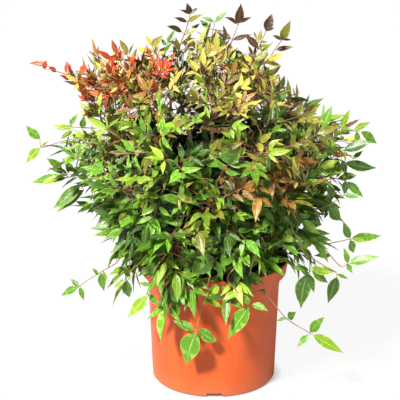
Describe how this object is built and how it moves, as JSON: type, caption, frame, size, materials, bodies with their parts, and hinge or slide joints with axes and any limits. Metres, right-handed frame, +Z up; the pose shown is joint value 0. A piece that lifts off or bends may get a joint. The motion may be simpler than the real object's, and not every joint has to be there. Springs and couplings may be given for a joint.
{
  "type": "potted heavenly bamboo shrub",
  "caption": "Small leafy evergreen shrub of thin upright canes and feathery leaf sprays, growing in a round tapered plastic nursery pot.",
  "frame": {"origin": "middle of the pot's flat underside, which stands on the ground", "axes": "+Z up along the pot's axis, -Y towards the plant's front, +X to its right-hand side as seen in the picture"},
  "size_m": [0.5151, 0.4673, 0.564],
  "materials": {
    "pot_plastic": "satin",
    "potting_mix": "matt",
    "bark": "matt",
    "leaves_top": "satin",
    "leaves_upper": "satin",
    "leaves_middle": "glossy",
    "leaves_low": "glossy"
  },
  "bodies": {
    "root": {"pot": "pot_plastic", "potting_mix": "potting_mix", "cane_top_left": "bark", "cane_top_front": "bark", "cane_top_right": "bark", "cane_top_back_right": "bark", "cane_top_back_left": "bark", "cane_upper_left": "bark", "cane_upper_front_left": "bark", "cane_upper_front_right": "bark", "cane_upper_right": "bark", "cane_upper_back_right": "bark", "cane_upper_back_left": "bark", "bough_middle_front": "bark", "bough_middle_front_right": "bark", "bough_middle_right": "bark", "bough_middle_back_right": "bark", "bough_middle_back_left": "bark", "bough_middle_left": "bark", "bough_middle_front_left": "bark", "bough_low_front_left": "bark", "bough_low_front_right": "bark", "bough_low_right": "bark", "bough_low_back_right": "bark", "bough_low_back": "bark", "bough_low_back_left": "bark", "bough_low_left": "bark", "foliage_top_left": "leaves_top", "foliage_top_front": "leaves_top", "foliage_top_right": "leaves_top", "foliage_top_back_right": "leaves_top", "foliage_top_back_left": "leaves_top", "foliage_upper_left": "leaves_upper", "foliage_upper_front_left": "leaves_upper", "foliage_upper_front_right": "leaves_upper", "foliage_upper_right": "leaves_upper", "foliage_upper_back_right": "leaves_upper", "foliage_upper_back_left": "leaves_upper", "foliage_middle_front": "leaves_middle", "foliage_middle_front_right": "leaves_middle", "foliage_middle_right": "leaves_middle", "foliage_middle_back_right": "leaves_middle", "foliage_middle_back_left": "leaves_middle", "foliage_middle_left": "leaves_middle", "foliage_middle_front_left": "leaves_middle", "foliage_low_front_left": "leaves_low", "foliage_low_front_right": "leaves_low", "foliage_low_right": "leaves_low", "foliage_low_back_right": "leaves_low", "foliage_low_back": "leaves_low", "foliage_low_back_left": "leaves_low", "foliage_low_left": "leaves_low"}
  },
  "joints": []
}
